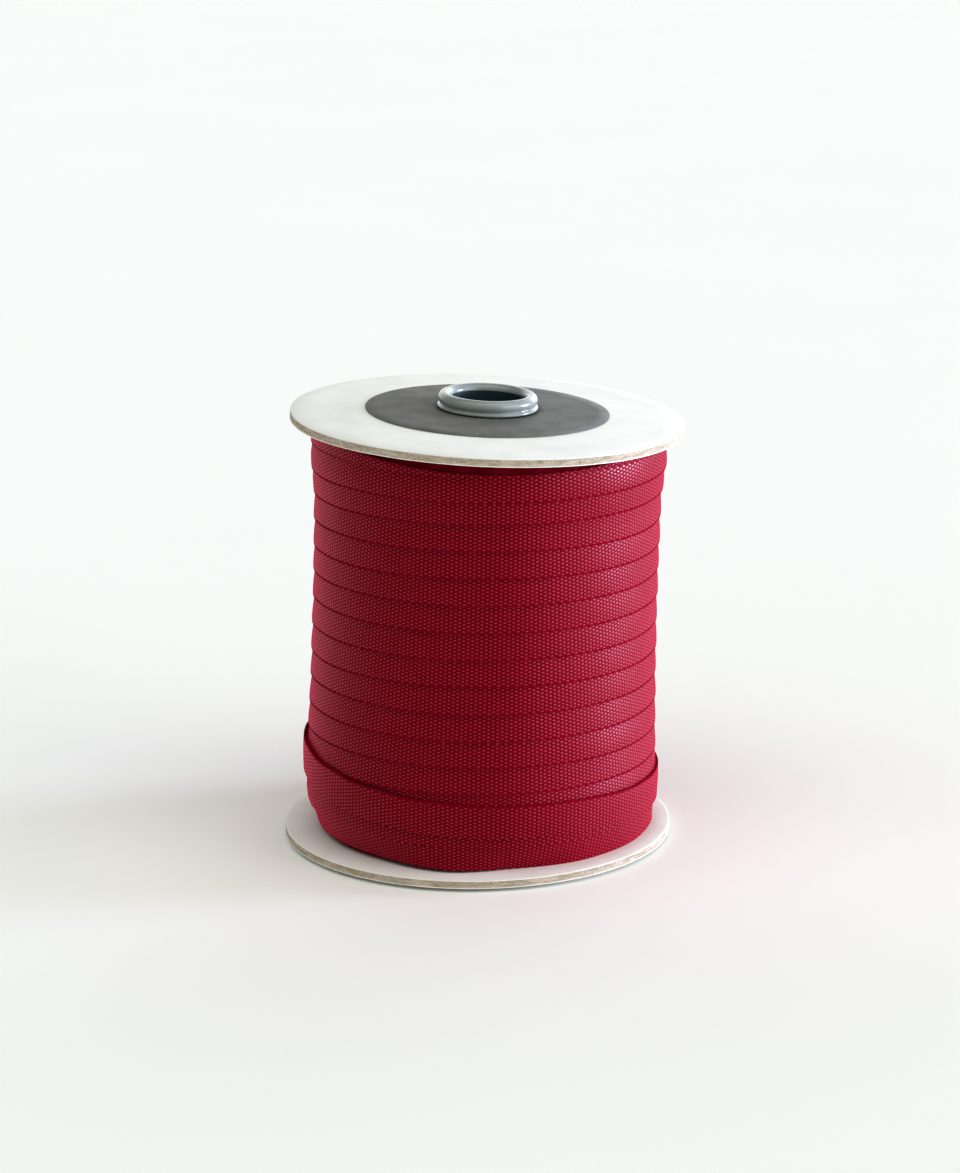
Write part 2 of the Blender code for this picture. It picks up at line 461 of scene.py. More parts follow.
# Painted shade: the gap colour is the darker crimson of the hollows between the floats and between wound
# layers, where shade falls
GAP_SHADE_CRIMSON = (0.190, 0.0008, 0.0070)
YARN_CRIMSON = (0.248, 0.0065, 0.0320)
# Painted shadow: the dark line along each turn's overlapping edge, a finish without sheen
SELVEDGE_SHADOW_CRIMSON = (0.215, 0.0005, 0.0200)
# Partly painted highlight: the weft's loops, painted lighter and pinker than the yarn as if the light
# catches them
LOOP_HIGHLIGHT_CRIMSON = (0.480, 0.0300, 0.0550)
COTTON_SHADE = (0.62, 0.55, 0.58)
COTTON_GLOSS = (1.0, 0.0, 0.15)
COTTON_SHEEN = (1.0, 0.02, 0.14)
LINT_WHITE = (0.75, 0.68, 0.66)
PAPER_WHITE = (0.80, 0.80, 0.755)
PAPER_CLOUDED = (0.76, 0.76, 0.715)
PAPER_SCUFFED = (0.62, 0.62, 0.59)
PAPER_SPECK = (0.45, 0.42, 0.37)
BOARD_TAN = (0.375, 0.315, 0.240)
BOARD_DARK = (0.20, 0.165, 0.12)
BOARD_PALE = (0.565, 0.500, 0.415)
BOARD_FIBRE = (0.74, 0.70, 0.62)
LABEL_GREY = (0.174, 0.174, 0.164)
LABEL_WORN = (0.220, 0.220, 0.206)
LABEL_SPECK = (0.26, 0.26, 0.25)
TUBE_BLUE_GREY = (0.268, 0.300, 0.287)
TUBE_CLOUDED = (0.310, 0.342, 0.325)
# Painted shade: the near-black of the tube's inside, where light falls off down the bore
BORE_PAINTED_SHADE = (0.018, 0.040, 0.050)
BORE_PAINTED_SHADE_CLOUDED = (0.030, 0.058, 0.070)
FLOOR_PALE = (0.900, 0.905, 0.868)
FLOOR_PALER = (0.920, 0.925, 0.888)

# The relief of each finish, for a height that goes from 0 to 1
WEAVE_RELIEF = 0.08 * MM
LOOP_RELIEF = 0.05 * MM
LAYER_RELIEF = 0.15 * MM
PAPER_RELIEF = 0.02 * MM
BOARD_RELIEF = 0.09 * MM
LABEL_RELIEF = 0.02 * MM
TUBE_RELIEF = 0.06 * MM

# Where a warp end floats over a pick: half its length and half its width, in picks and ends, and how
# flat its crown is. Then how much the picks themselves rise, and how thick a wound layer is
FLOAT_LONG = 0.45
FLOAT_WIDE = 0.58
FLOAT_FLAT = 0.6
PICK_RISE = 0.14
LAYER_PITCH = 0.36 * MM


def cotton_weave():
    """Plain weave in picks and ends: each warp end floats over every other pick."""
    recipe = Recipe("crimson_cotton")
    weave = recipe.place.outputs["UV"]
    picks, ends, _ = recipe.apart(weave)
    slow = recipe.grain(0.35, vector=weave, stretch=(0.35, 1, 1))
    uneven = recipe.grain(2.2, vector=weave)
    end = ends.floor()
    along = ((picks + end) * 0.5 + (uneven - 0.5) * 0.10).fraction() * 2 - 1
    across = ends.fraction() - 0.5
    crown = (1 - (along / FLOAT_LONG) ** 2 - (across / FLOAT_WIDE) ** 2).no_less(0.0)
    float_height = crown ** FLOAT_FLAT
    pick_height = (picks * math.tau).cosine() * PICK_RISE + PICK_RISE
    fibre = recipe.grain(5.0, detail=3.0, vector=weave, stretch=(1.0, 4.0, 1.0), roughness=0.65)
    height = (float_height + pick_height + (fibre - 0.5) * 0.35).no_less(0.0)
    raised = float_height * 0.85 + pick_height * 0.4
    # Painted shade: the hollows between the floats are painted darker, mixed with random tone from the
    # fibre and its unevenness
    depth = (raised + (fibre - 0.5) * 0.40 + (uneven - 0.5) * 0.4).ramp(0.05, 0.95)
    shine = (float_height + (fibre - 0.5) * 0.5 + (uneven - 0.5) * 0.5).ramp(0.25, 0.95)
    colour = recipe.blend(depth, GAP_SHADE_CRIMSON, YARN_CRIMSON)
    colour = recipe.blend(slow.ramp(0.3, 0.75) * 0.28, colour, COTTON_SHADE, "MULTIPLY")
    lint = recipe.specks(170, 0.028, 0.06)
    colour = recipe.blend(lint, colour, LINT_WHITE)
    recipe.set(
        Base_Color=colour,
        Roughness=0.50,
        Specular_Tint=recipe.colour(COTTON_GLOSS),
        Coat_Weight=shine,
        Coat_Roughness=0.38,
        Coat_IOR=1.66,
        Sheen_Weight=1.0,
        Sheen_Roughness=0.40,
        Sheen_Tint=recipe.colour(COTTON_SHEEN),
        Normal=recipe.bump(height, WEAVE_RELIEF),
    )
    return recipe.material


def cotton_selvedge_shadow():
    """The ribbon's very edge, painted dark as a painted shadow line where the turns overlap, and the weft's
    loops round it painted lighter as a painted highlight.
    """
    recipe = Recipe("crimson_selvedge_shadow")
    weave = recipe.place.outputs["UV"]
    picks, ends, _ = recipe.apart(weave)
    ragged = recipe.grain(0.9, detail=2.0, vector=weave, stretch=(1.0, 0.3, 1.0))
    loop = (picks * math.pi).cosine() * 0.5 + 0.5
    low = 1 - (ends - (ragged - 0.5) * 0.5).ramp(0.20, 0.45)
    # The weft's loops along the edge, painted lighter as a painted highlight
    lit_loops = low * loop.ramp(0.35, 0.8) * ragged.ramp(0.42, 0.62)
    colour = recipe.blend(lit_loops, SELVEDGE_SHADOW_CRIMSON, LOOP_HIGHLIGHT_CRIMSON)
    recipe.set(
        Base_Color=colour,
        Roughness=0.9,
        Specular_IOR_Level=0.1,
        Normal=recipe.bump(loop, LOOP_RELIEF),
    )
    return recipe.material


def cotton_layers():
    """The wound layers seen on the ends of the roll."""
    recipe = Recipe("cotton_layers")
    x, y, _ = recipe.apart(recipe.place.outputs["Object"])
    radius = (x * x + y * y) ** 0.5
    wavy = recipe.grain(140, detail=3.0)
    layer = ((radius / LAYER_PITCH + wavy * 1.4) * math.tau).cosine() * 0.5 + 0.5
    # Painted shade: darker between the wound layers
    colour = recipe.blend(layer, GAP_SHADE_CRIMSON, YARN_CRIMSON)
    recipe.set(
        Base_Color=colour,
        Roughness=0.85,
        Specular_IOR_Level=0.1,
        Normal=recipe.bump(layer, LAYER_RELIEF),
    )
    return recipe.material


def white_paper():
    """The smooth white paper on both faces of a board."""
    recipe = Recipe("white_paper")
    mottle = recipe.grain(140, detail=3.0)
    fine = recipe.grain(1800, detail=2.0)
    scuff = recipe.grain(60, detail=4.0, stretch=(1, 3, 1)).ramp(0.58, 0.78)
    colour = recipe.blend(mottle.ramp(0.35, 0.7), PAPER_WHITE, PAPER_CLOUDED)
    colour = recipe.blend(scuff * 0.10, colour, PAPER_SCUFFED)
    colour = recipe.blend(recipe.specks(260, 0.035, 0.10) * 0.5, colour, PAPER_SPECK)
    relief = recipe.bump(fine * 0.6 + mottle * 0.4, PAPER_RELIEF, 0.6)
    recipe.set(
        Base_Color=colour,
        Roughness=fine * 0.12 + 0.58,
        Specular_IOR_Level=0.15,
        Normal=relief,
    )
    return recipe.material


def cut_greyboard():
    """The bare cut edge of the board: grey-brown pulp with flecks and short fibres."""
    recipe = Recipe("cut_greyboard")
    layers = recipe.grain(900, detail=4.0, stretch=(0.35, 0.35, 1.6), roughness=0.7)
    flecks = recipe.grain(2600, detail=3.0, stretch=(0.6, 0.6, 1.0), roughness=0.7)
    colour = recipe.blend(layers.ramp(0.32, 0.68), BOARD_TAN, BOARD_PALE)
    colour = recipe.blend(flecks.ramp(0.55, 0.72), colour, BOARD_DARK)
    colour = recipe.blend(recipe.grain(3400).ramp(0.66, 0.78), colour, BOARD_FIBRE)
    relief = recipe.bump(layers * 0.6 + flecks * 0.4, BOARD_RELIEF)
    recipe.set(Base_Color=colour, Roughness=0.9, Specular_IOR_Level=0.2, Normal=relief)
    return recipe.material


def dark_paper():
    """The dark grey paper ring, softly shiny at a low angle."""
    recipe = Recipe("dark_paper")
    fine = recipe.grain(2400, detail=3.0, roughness=0.65)
    mottle = recipe.grain(220, detail=3.0)
    colour = recipe.blend(mottle.ramp(0.3, 0.7), LABEL_GREY, LABEL_WORN)
    colour = recipe.blend(fine.ramp(0.62, 0.80) * 0.5, colour, LABEL_SPECK)
    relief = recipe.bump(fine, LABEL_RELIEF, 0.7)
    recipe.set(
        Base_Color=colour,
        Roughness=mottle * 0.08 + 0.55,
        IOR=1.2,
        Specular_IOR_Level=0.25,
        Normal=relief,
    )
    return recipe.material


def moulded_plastic():
    """The tube's grey-blue plastic, slightly cloudy, with fine turning marks."""
    recipe = Recipe("moulded_plastic")
    cloud = recipe.grain(160, detail=3.0)
    rings = recipe.grain(300, detail=2.0, stretch=(0.5, 0.5, 5))
    colour = recipe.blend(cloud.ramp(0.35, 0.7), TUBE_BLUE_GREY, TUBE_CLOUDED)
    relief = recipe.bump(rings * 0.5 + cloud * 0.5, TUBE_RELIEF, 0.5)
    recipe.set(
        Base_Color=colour,
        Roughness=cloud * 0.06 + 0.12,
        Specular_IOR_Level=0.6,
        Normal=relief,
    )
    return recipe.material


def shaded_bore():
    """The inside of the tube, the same plastic, painted near-black as painted shade down the bore."""
    recipe = Recipe("shaded_bore")
    cloud = recipe.grain(160, detail=3.0)
    recipe.set(Base_Color=recipe.blend(cloud, BORE_PAINTED_SHADE, BORE_PAINTED_SHADE_CLOUDED), Roughness=0.5)
    return recipe.material


def pale_floor():
    """A plain pale table."""
    recipe = Recipe("pale_floor")
    soft = recipe.grain(9, detail=2.0)
    colour = recipe.blend(soft, FLOOR_PALE, FLOOR_PALER)
    recipe.set(Base_Color=colour, Roughness=0.85, Specular_IOR_Level=0.1)
    return recipe.material


# The roll


def edge_height(turn):
    """Height above the lower board of the climbing ribbon's lower edge.

    The turn is counted from the back seam of the turn that lies on the board.
    """
    return max(EDGE_PLACES[0][1], straight_between(EDGE_PLACES, turn)) * MM


def roll_radius(height, angle):
    """The roll's radius at a height above the lower board, drawn in at its foot."""
    full = between(ROLL_FORM, height / MM, 1) * MM
    foot = round_table(ROLL_FOOT, angle, 1) * MM
    share = math.sin(share_of(height / FOOT_DEPTH) * math.pi / 2)
    return foot + (full - foot) * share


def upper_face(radius, angle):
    """Height of the upper board's underside in the leaning frame, above the lower board."""
    across = radius * math.cos(math.radians(angle)) * math.tan(UPPER_TILT - LEAN)
    droop = DISH * (radius / DISC_RADIUS) ** 2
    return UPPER_FACE / math.cos(LEAN) - BOARD - across - droop - DISC_TOP


def leaning(radius, angle, height):
    """A point of the roll in its own leaning frame, its height counted from the lower board."""
    round_roll = math.radians(angle)
    x = radius * math.cos(round_roll) + ROLL_SHIFT
    return Vector((x, radius * math.sin(round_roll), DISC_TOP + height))


LEANING_FRAME = Matrix.Translation((FOOT_X, 0, 0)) @ Matrix.Rotation(LEAN, 4, "Y")


def selvedge(turn, side):
    """The small loops of the weft along an edge, one for every second pick."""
    loop = math.cos(math.pi * PICKS_A_TURN * turn)
    uneven = wander(turn * PICKS_A_TURN * 0.37, side * 9.7, 0.5)
    return SELVEDGE_LOOP * (loop * 0.7 + uneven * 0.9)


def lower_edge_at(turn):
    """Height of the climbing ribbon's lower edge, with its slow and quick wanderings."""
    slow = wander(turn * 5.0, 3.1, 0.0) * 0.16
    quick = wander(turn * 23.0, 7.7, 0.0) * 0.06
    return edge_height(turn) + (slow + quick) * MM


def headroom(angle):
    """How far the last turns stop short of the upper board: most at the front, left of its middle."""
    nearness = max(0.0, math.cos(math.radians(angle - HEADROOM_MOST_AT)))
    return (HEADROOM_LEAST + HEADROOM_MORE * nearness ** 2) * MM


def climbing_span(turn):
    """How much of the climbing ribbon's width there is room for under the upper board."""
    angle = 90 + 360 * turn
    room = upper_face(ROLL_TOP_RADIUS, angle) - headroom(angle) - lower_edge_at(turn)
    return max(LEAST_SPAN, min(RIBBON_WIDTH, room))


def climbing_place(turn, width, depth):
    """Where a point of the climbing ribbon lies, by its turn and its shares of width and thickness."""
    angle = 90 + 360 * turn
    low = lower_edge_at(turn)
    rise = climbing_span(turn) * width
    edge = selvedge(turn, 0) * max(0.0, 1 - width / SELVEDGE_BAND)
    height = low + rise - edge
    lip = TURN_LIP * (1 + 0.25 * wander(turn * 7.0, 1.3, 2.0))
    lip *= FOOT_LIP + (1 - FOOT_LIP) * share_of((low - FOOT_DEPTH) / LIP_GROWS)
    out = straight_between(SHINGLE, rise / TURN_PITCH) * lip
    ripple = wander(turn * 31.0, width * 2.0, 5.0) * 0.05 * MM
    out -= DEEPER * share_of((DEEPER_UNTIL - turn) / DEEPER_FADES)
    radius = roll_radius(low + rise, angle) + out + ripple - depth * RIBBON_THICK
    return leaning(radius, angle, height)


def turn_edge_over(angle_on):
    """Height of the climbing ribbon's edge that lies next above the loose turn's start."""
    return edge_height(TURN_OVER_LOOSE + (angle_on - 90) / 360)


def loose_reach(angle_on):
    """Heights of the loose turn's lower and upper edges, and how near it is to its start and its end.

    The last two are 0 where it lies free, and 1 at the start and at the end.
    """
    upper = round_table(LOOSE_TURN, angle_on, 1) * MM
    coming = max(0.0, (LOOSE_MEETS - angle_on) / (LOOSE_MEETS - LOOSE_START))
    going = max(0.0, (angle_on - 360 - LOOSE_START) / (LOOSE_MEETS - LOOSE_START))
    upper += LOOSE_RISE * coming * coming
    low = upper - RIBBON_WIDTH
    top = upper
    if coming > 0:
        top = min(top, turn_edge_over(angle_on) + LOOSE_UNDER)
    if going > 0:
        over = 1 - going
        top = min(top, low + LOOSE_RISE * over * over + LOOSE_UNDER)
    return low, max(low + LEAST_SPAN, top), coming, going


def loose_span(angle_on):
    """How much of the loose turn's width shows."""
    low, top, _, _ = loose_reach(angle_on)
    return top - low


def loose_place(angle_on, width, depth):
    """Where a point of the loose turn lies, by its running angle and its shares of width and thickness."""
    turn = angle_on / 360
    low, top, coming, going = loose_reach(angle_on)
    radius = round_table(LOOSE_TURN, angle_on, 2) * MM
    radius -= LOOSE_SINK * share_of(going * 4)
    rise = (top - low) * width
    lower_edge = selvedge(turn, 1) * max(0.0, 1 - width / SELVEDGE_BAND)
    upper_edge = selvedge(turn, 2) * max(0.0, 1 - (1 - width) / SELVEDGE_BAND)
    sag = LOOSE_SAG * math.cos(math.pi * (width - 0.5))
    ripple = wander(turn * 17.0, width * 2.0, 8.0) * 0.06 * MM
    tuck = LOOSE_TUCK * coming * width + LOOSE_DIVE * max(0.0, 4 * coming - 3)
    out = radius - LOOSE_INSET + sag + ripple - tuck - depth * RIBBON_THICK
    return leaning(out, angle_on, low + rise - lower_edge + upper_edge)


def climbing_shadow_rows(turn):
    """Rows of the climbing ribbon's section at its lower edge that take the painted shadow line, above the
    foot.
    """
    return (0, len(CLIMB_SECTION) - 1) if edge_height(turn) > FOOT_DEPTH else ()


def loose_shadow_rows(_angle_on):
    """Rows of the loose turn's section at its upper edge that take the painted shadow line, the same all
    along it.
    """
    return (7, 8)


def grid_places(form, steps, rows):
    """Step along the ribbon and row round its section of each point of a flat grid."""
    return {
        point: (round((point.co.x + 0.5) * steps), round((point.co.y + 0.5) * rows))
        for point in form.verts
    }


def weave_ribbon(form, put, section, along, picks, ends, shadow_rows):
    """Give the faces their finish and their place in the weave, and keep the ribbon's edges sharp."""
    weave = form.loops.layers.uv.new("weave")
    rows = len(section)
    for face in form.faces:
        step = min(put[point][0] for point in face.verts)
        row = min(put[point][1] for point in face.verts)
        # Painted shadow: the edge rows take the dark selvedge finish
        face.material_index = 1 if row in shadow_rows(along[step]) else 0
        for corner in face.loops:
            step, row = put[corner.vert]
            corner[weave].uv = (picks[step], section[row % rows][0] * ends[step])
    for edge in form.edges:
        row = put[edge.verts[0]][1]
        if row == put[edge.verts[1]][1] and section[row % rows][0] in (0, 1):
            edge.smooth = False


def lay_ribbon(name, first, last, a_turn, section, place, span, shadow_rows, finishes):
    """A length of ribbon: a flat grid, closed round the ribbon's section and then put in place.

    The grid's x runs along the ribbon and its y once round the section. Faces in the rows whose numbers
    are in shadow_rows have the second finish, the painted shadow line along the edge.
    """
    steps = round((last - first) / a_turn * STEPS_A_TURN)
    rows = len(section)
    form = bmesh.new()
    bmesh.ops.create_grid(form, x_segments=steps, y_segments=rows, size=0.5)
    put = grid_places(form, steps, rows)
    along = [first + (last - first) * step / steps for step in range(steps + 1)]
    picks = [at / a_turn * PICKS_A_TURN for at in along]
    ends = [span(at) / RIBBON_WIDTH * ENDS for at in along]
    weave_ribbon(form, put, section, along, picks, ends, shadow_rows)
    for point, (step, row) in put.items():
        width, depth = section[row % rows]
        point.co = place(along[step], width, depth)
    seam = [point for point, (_, row) in put.items() if row in (0, rows)]
    bmesh.ops.remove_doubles(form, verts=seam, dist=0.001 * MM)
    open_edges = [edge for edge in form.edges if edge.is_boundary]
    bmesh.ops.holes_fill(form, edges=open_edges, sides=0)
    bmesh.ops.recalc_face_normals(form, faces=form.faces)
    form.transform(LEANING_FRAME)
    return as_piece(form, name, *finishes)


def climbing_ribbon(finishes):
    """The length that climbs from the lower board to the upper one, its places counted in turns."""
    return lay_ribbon(
        "ribbon_climb",
        FIRST_TURN,
        LAST_TURN,
        1.0,
        CLIMB_SECTION,
        climbing_place,
        climbing_span,
        climbing_shadow_rows,
        finishes,
    )


def loose_ribbon(finishes):
    """The loose turn, its places counted in degrees from +X."""
    return lay_ribbon(
        "ribbon_loose",
        LOOSE_START,
        360 + LOOSE_MEETS,
        360.0,
        LOOSE_SECTION,
        loose_place,
        loose_span,
        loose_shadow_rows,
        finishes,
    )


def turned(outline, steps):
    """A bmesh of a closed outline of (radius, height) spun once round Z."""
    form = bmesh.new()
    points = [form.verts.new((radius, 0, height)) for radius, height in outline]
    lines = [form.edges.new(pair) for pair in zip(points, points[1:] + points[:1])]
    bmesh.ops.spin(
        form,
        geom=points + lines,
        cent=(0, 0, 0),
        axis=(0, 0, 1),
        angle=math.tau,
        steps=steps,
        use_merge=True,
    )
    bmesh.ops.remove_doubles(form, verts=form.verts, dist=0.0005 * MM)
    bmesh.ops.recalc_face_normals(form, faces=form.faces)
    return form


def make_roll_body(finish):
    """The layers under the outer turns, from the tube out."""
    foot = [(radius * MM, height * MM) for height, radius in BODY_FOOT]
    rings = [(between(ROLL_FORM, height, 1) * MM - BODY_UNDER, height * MM) for height in BODY_RINGS]
    top_radius = BODY_TOP_RADIUS * MM
    top = upper_face(top_radius, 0) - BODY_TOP_GAP
    outline = [(HOLE_RADIUS, foot[0][1]), *foot, *rings, (top_radius, top), (HOLE_RADIUS, top)]
    form = turned(outline, BODY_STEPS)
    for point in form.verts:
        point.co.x += ROLL_SHIFT
        point.co.z += DISC_TOP
        if point.co.z < DISC_TOP + BODY_FOOT_LIFT:
            point.co.z += point.co.x * math.tan(LEAN) + BODY_FOOT_LIFT
        if point.co.z > DISC_TOP + BODY_TOP_FROM:
            point.co.z -= point.co.x * math.tan(UPPER_TILT - LEAN)
    form.transform(LEANING_FRAME)
    return as_piece(form, "ribbon_body", finish)


# Boards, paper ring and tube


def board_outline():
    """A board's section from the hole over the upper face, down the cut rim and back: radius, height."""
    edge = DISC_RADIUS - 0.05 * MM
    rings = [HOLE_RADIUS + (edge - HOLE_RADIUS) * ring / BOARD_RINGS for ring in range(BOARD_RINGS)]
    upper = [(radius, 0) for radius in rings]
    rim = [
        (edge - 0.32 * MM, 0),
        (edge - 0.12 * MM, -0.05 * MM),
        (edge - 0.02 * MM, -0.16 * MM),
        (edge - 0.06 * MM, -0.20 * MM),
        (edge, -0.48 * MM),
        (edge + 0.01 * MM, -0.85 * MM),
        (edge - 0.03 * MM, -BOARD + 0.20 * MM),
        (edge + 0.02 * MM, -BOARD + 0.13 * MM),
        (edge + 0.01 * MM, -BOARD + 0.03 * MM),
        (edge - 0.10 * MM, -BOARD),
    ]
    lower = [(radius, -BOARD) for radius in reversed(rings)]
    return upper + rim + lower


def make_board(name, dish, placing, seed, finishes):
    """One board: its face nearly flat, its cut rim a little rough, its lower paper ragged."""
    form = turned(board_outline(), BOARD_STEPS)
    rim_from = DISC_RADIUS - RIM_BAND
    bare_top = -UPPER_PAPER
    bare_foot = -BOARD + LOWER_PAPER
    for face in form.faces:
        middle = face.calc_center_median()
        if math.hypot(middle.x, middle.y) > rim_from and bare_foot < middle.z < bare_top:
            face.material_index = 1
    for point in form.verts:
        radius = math.hypot(point.co.x, point.co.y)
        angle = math.atan2(point.co.y, point.co.x)
        rise = BOARD_WARP * wander(point.co.x * 45, point.co.y * 45, seed) * (radius / DISC_RADIUS) ** 2
        rise -= dish * (radius / DISC_RADIUS) ** 2
        out = 0
        if radius > rim_from:
            depth = point.co.z / BOARD
            rough = CUT_ROUGH if bare_foot < point.co.z < bare_top else PAPER_ROUGH
            out = rough * wander(angle * 60, depth * 4, seed + 3)
            if point.co.z < bare_foot:
                out += RAGGED_OUT * wander(angle * 90, 1.0, seed + 5)
                rise += RAGGED_UP * wander(angle * 110, 2.0, seed + 7)
        point.co.x += out * math.cos(angle)
        point.co.y += out * math.sin(angle)
        point.co.z += rise
    form.transform(placing)
    return as_piece(form, name, *finishes)


def upper_placing():
    """The seat of the upper end's pieces on the leaning axis."""
    centre = Vector((FOOT_X + UPPER_FACE * math.tan(LEAN), 0, UPPER_FACE))
    return Matrix.Translation(centre) @ Matrix.Rotation(UPPER_TILT, 4, "Y")


def make_paper_ring(finish):
    """The thin paper ring glued on the upper board."""
    band = LABEL_RADIUS - HOLE_RADIUS
    rings = [HOLE_RADIUS + band * ring / LABEL_RINGS for ring in range(LABEL_RINGS)]
    upper = [(radius, LABEL_THICK) for radius in rings]
    rim = [
        (LABEL_RADIUS - 0.05 * MM, LABEL_THICK),
        (LABEL_RADIUS, LABEL_THICK * 0.6),
        (LABEL_RADIUS, GLUE),
    ]
    lower = [(radius, GLUE) for radius in reversed(rings)]
    form = turned(upper + rim + lower, LABEL_STEPS)
    for point in form.verts:
        radius = math.hypot(point.co.x, point.co.y)
        point.co.z -= DISH * (radius / DISC_RADIUS) ** 2
        point.co.z += LABEL_WARP * wander(point.co.x * 70, point.co.y * 70, 4.0)
        point.co.z += LABEL_LIFT
    form.transform(upper_placing())
    return as_piece(form, "label_paper_ring", finish)


# The collar: a round bead over the end of the tube, drawn from the bore over its crest, and a thin lip
# under it on the paper ring, as radius and height in mm
BEAD_RADIUS = 1.24 * MM
BEAD_CENTRE = (BORE_RADIUS + BEAD_RADIUS, 1.16 * MM)
BEAD_ENDS = (180, -48)
BEAD_STEPS = 23
COLLAR_LIP = (
    (9.27, 0.12),
    (9.34, 0.03),
    (9.58, -0.02),
    (9.71, -0.10),
    (9.74, -0.30),
    (9.69, -0.52),
    (9.30, -0.60),
)
LIP_UNEVEN = 0.05 * MM
# How far above the collar's foot the painted shade in the bore reaches
BORE_SHADE = 1.0 * MM


def collar_outline():
    """The collar's outline from the bore over the crest and down the lip: radius, height."""
    start, end = BEAD_ENDS
    outline = []
    for step in range(BEAD_STEPS + 1):
        angle = math.radians(start + (end - start) * step / BEAD_STEPS)
        radius = BEAD_CENTRE[0] + BEAD_RADIUS * math.cos(angle)
        height = BEAD_CENTRE[1] + BEAD_RADIUS * math.sin(angle)
        outline.append((radius, COLLAR_FOOT + height))
    outline += [(radius * MM, COLLAR_FOOT + height * MM) for radius, height in COLLAR_LIP]
    return outline


def make_tube(*finishes):
    """The tube: its rolled collar above, its straight bore and its flat flange below."""
    collar = collar_outline()
    wall = [(TUBE_RADIUS, COLLAR_FOOT - 0.62 * MM)]
    wall += [(TUBE_RADIUS, COLLAR_FOOT * share) for share in (0.8, 0.6, 0.4, 0.2)]
    flange = [
        (TUBE_RADIUS + 0.3 * MM, FLANGE_THICK + 0.1 * MM),
        (TUBE_RADIUS + 0.6 * MM, FLANGE_THICK),
        (FLANGE_RADIUS - 0.1 * MM, FLANGE_THICK),
        (FLANGE_RADIUS, FLANGE_THICK * 0.7),
        (FLANGE_RADIUS, FLANGE_THICK * 0.3),
        (FLANGE_RADIUS - 0.1 * MM, 0),
        (BORE_RADIUS + 0.3 * MM, 0),
        (BORE_RADIUS, 0.3 * MM),
    ]
    bore = [(BORE_RADIUS, COLLAR_FOOT * share) for share in (0.2, 0.4, 0.6, 0.8, 0.96)]
    form = turned(collar + wall + flange + bore, TUBE_STEPS)
    # Painted shade: faces down inside the bore take the second, near-black finish
    for face in form.faces:
        middle = face.calc_center_median()
        if math.hypot(middle.x, middle.y) < BORE_RADIUS + 0.1 * MM and middle.z < COLLAR_FOOT + BORE_SHADE:
            face.material_index = 1
    for point in form.verts:
        x, y, z = point.co
        angle = math.atan2(y, x)
        lip = LIP_UNEVEN if COLLAR_FOOT - 0.6 * MM < z < COLLAR_FOOT + 0.5 * MM else 0.0
        uneven = lip * wander(angle * 3.0, z * 500, 2.0)
        askew = x * math.tan(UPPER_TILT) * z / UPPER_FACE
        x += uneven * math.cos(angle)
        y += uneven * math.sin(angle)
        point.co = (x + z * math.tan(LEAN) + FOOT_X, y, z - askew)
    return as_piece(form, "tube_with_collar", *finishes)


# Floor, light and camera

FLOOR_RADIUS = 6.0


def make_floor():
    """A wide round table top under the spool."""
    form = bmesh.new()
    bmesh.ops.create_circle(form, cap_ends=True, segments=96, radius=FLOOR_RADIUS)
    floor = as_piece(form, "table_top", pale_floor())


PLAIN_LIGHT = (1.0, 1.0, 0.98)
COOL_LIGHT = (0.94, 1.0, 1.30)
# The windows at the right: degrees round from the camera, degrees up, how wide in degrees, strength, colour
WINDOWS = (
    (97, 1.5, 24, 4.2, COOL_LIGHT),
    (60, 7, 50, 1.1, PLAIN_LIGHT),
    (150, 8, 40, 0.4, COOL_LIGHT),
)
# The room: how bright the ceiling is towards the camera and behind the spool, the wall behind the
# spool and the rest, and between which values of a direction's part along an axis each pair blends
CEILING_FRONT = 1.19
CEILING_BACK = 0.0
GLOW_BEHIND = 1.20
DIM_ROOM = 0.34
CEILING_BLEND = (-0.3, 0.3)
WALL_BLEND = (0.3, 0.9)
UPWARD_BLEND = (0.40, 0.90)
ROOM_COLOUR = (0.990, 1.0, 0.980, 1)


def make_window(round_from_camera, up, wide, strength, colour):
    """A soft window far off."""
    lamp = bpy.data.lights.new("window", "SUN")
    lamp.energy = strength
    lamp.color = colour
    lamp.angle = math.radians(wide)
    window = bpy.data.objects.new("window", lamp)
    away = Vector((0, -1, 0))
    away.rotate(Matrix.Rotation(math.radians(up), 3, (-1, 0, 0)))
    away.rotate(Matrix.Rotation(math.radians(round_from_camera), 3, "Z"))
    window.rotation_euler = away.to_track_quat("Z", "Y").to_euler()
    bpy.context.scene.collection.objects.link(window)


def room_ramp(tree, reading, blend, at_start, at_end):
    """A brightness that goes smoothly from one value to another while a reading crosses a blend."""
    made = tree.nodes.new("ShaderNodeMapRange")
    made.interpolation_type = "SMOOTHSTEP"
    tree.links.new(reading, made.inputs["Value"])
    made.inputs["From Min"].default_value, made.inputs["From Max"].default_value = blend
    for name, value in (("To Min", at_start), ("To Max", at_end)):
        if isinstance(value, float):
            made.inputs[name].default_value = value
        else:
            tree.links.new(value, made.inputs[name])
    return made.outputs["Result"]


def make_room():
    """A ceiling that is pale towards the camera, a bright wall behind the spool and a dim room."""
    world = bpy.data.worlds.new("studio")
    bpy.context.scene.world = world
    world.use_nodes = True
    tree = world.node_tree
    sky = tree.nodes["Background"]
    sky.inputs["Color"].default_value = ROOM_COLOUR
    place = tree.nodes.new("ShaderNodeTexCoord")
    apart = tree.nodes.new("ShaderNodeSeparateXYZ")
    tree.links.new(place.outputs["Generated"], apart.inputs[0])
    back, upward = apart.outputs["Y"], apart.outputs["Z"]
    ceiling = room_ramp(tree, back, CEILING_BLEND, CEILING_FRONT, CEILING_BACK)
    walls = room_ramp(tree, back, WALL_BLEND, DIM_ROOM, GLOW_BEHIND)
    brightness = room_ramp(tree, upward, UPWARD_BLEND, walls, ceiling)
    tree.links.new(brightness, sky.inputs["Strength"])


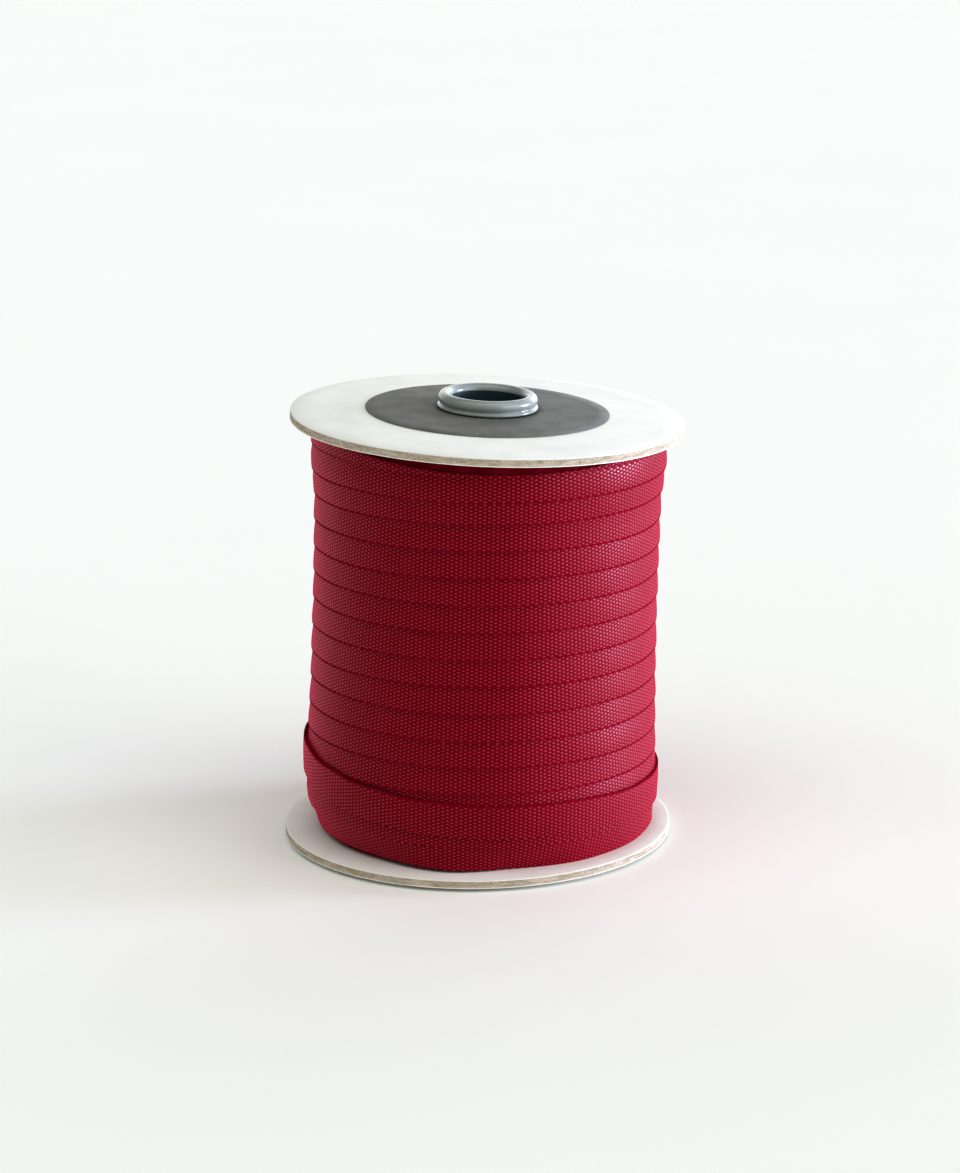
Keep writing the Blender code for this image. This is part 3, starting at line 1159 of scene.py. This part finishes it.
# The camera fitted to the photograph: its place, its turn round Z, its dip and its roll in radians, its
# lens and film in millimetres, and the nearest and farthest that it sees
CAMERA_PLACE = Vector((-0.00146, -0.7010, 0.2383))
CAMERA_TURN = 0.0016
CAMERA_DIP = 0.2628
CAMERA_ROLL = -0.0128
LENS = 114.03
FILM = 36.0
NEAREST = 0.05
FARTHEST = 30


def make_camera():
    """The photograph's viewpoint: in front, a little above, looking down 15 degrees."""
    ahead = Vector((
        math.sin(CAMERA_TURN) * math.cos(CAMERA_DIP),
        math.cos(CAMERA_TURN) * math.cos(CAMERA_DIP),
        -math.sin(CAMERA_DIP),
    ))
    level = ahead.cross(Vector((0, 0, 1))).normalized()
    upright = level.cross(ahead)
    right = level * math.cos(CAMERA_ROLL) + upright * math.sin(CAMERA_ROLL)
    up = upright * math.cos(CAMERA_ROLL) - level * math.sin(CAMERA_ROLL)
    lens = bpy.data.cameras.new("camera")
    lens.lens = LENS
    lens.sensor_width = FILM
    lens.clip_start = NEAREST
    lens.clip_end = FARTHEST
    camera = bpy.data.objects.new("camera", lens)
    axes = Matrix((right, up, -ahead)).transposed().to_4x4()
    camera.matrix_world = Matrix.Translation(CAMERA_PLACE) @ axes
    bpy.context.scene.collection.objects.link(camera)
    bpy.context.scene.camera = camera


def main():
    """Dress the spool."""
    bpy.context.scene.view_settings.view_transform = "Standard"
    bpy.context.scene.view_settings.look = "High Contrast"
    make_camera()
    for window in WINDOWS:
        make_window(*window)
    make_room()
    make_floor()
    cotton = (cotton_weave(), cotton_selvedge_shadow())
    board = (white_paper(), cut_greyboard())
    climb = climbing_ribbon(cotton)
    loose = loose_ribbon(cotton)
    keep(make_roll_body(cotton_layers()), "ribbon", "ribbon_roll")
    keep(climb, "ribbon", "ribbon_roll")
    keep(loose, "ribbon", "ribbon_roll")
    lower_seat = Matrix.Translation((LOWER_CENTRE_X, 0, DISC_TOP))
    keep(make_board("board_lower", 0, lower_seat, 1.0, board), "board", "disc_lower")
    keep(make_board("board_upper", DISH, upper_placing(), 6.0, board), "board", "disc_upper")
    keep(make_paper_ring(dark_paper()), "label", "label_ring")
    keep(make_tube(moulded_plastic(), shaded_bore()), "tube", "core_tube")


main()
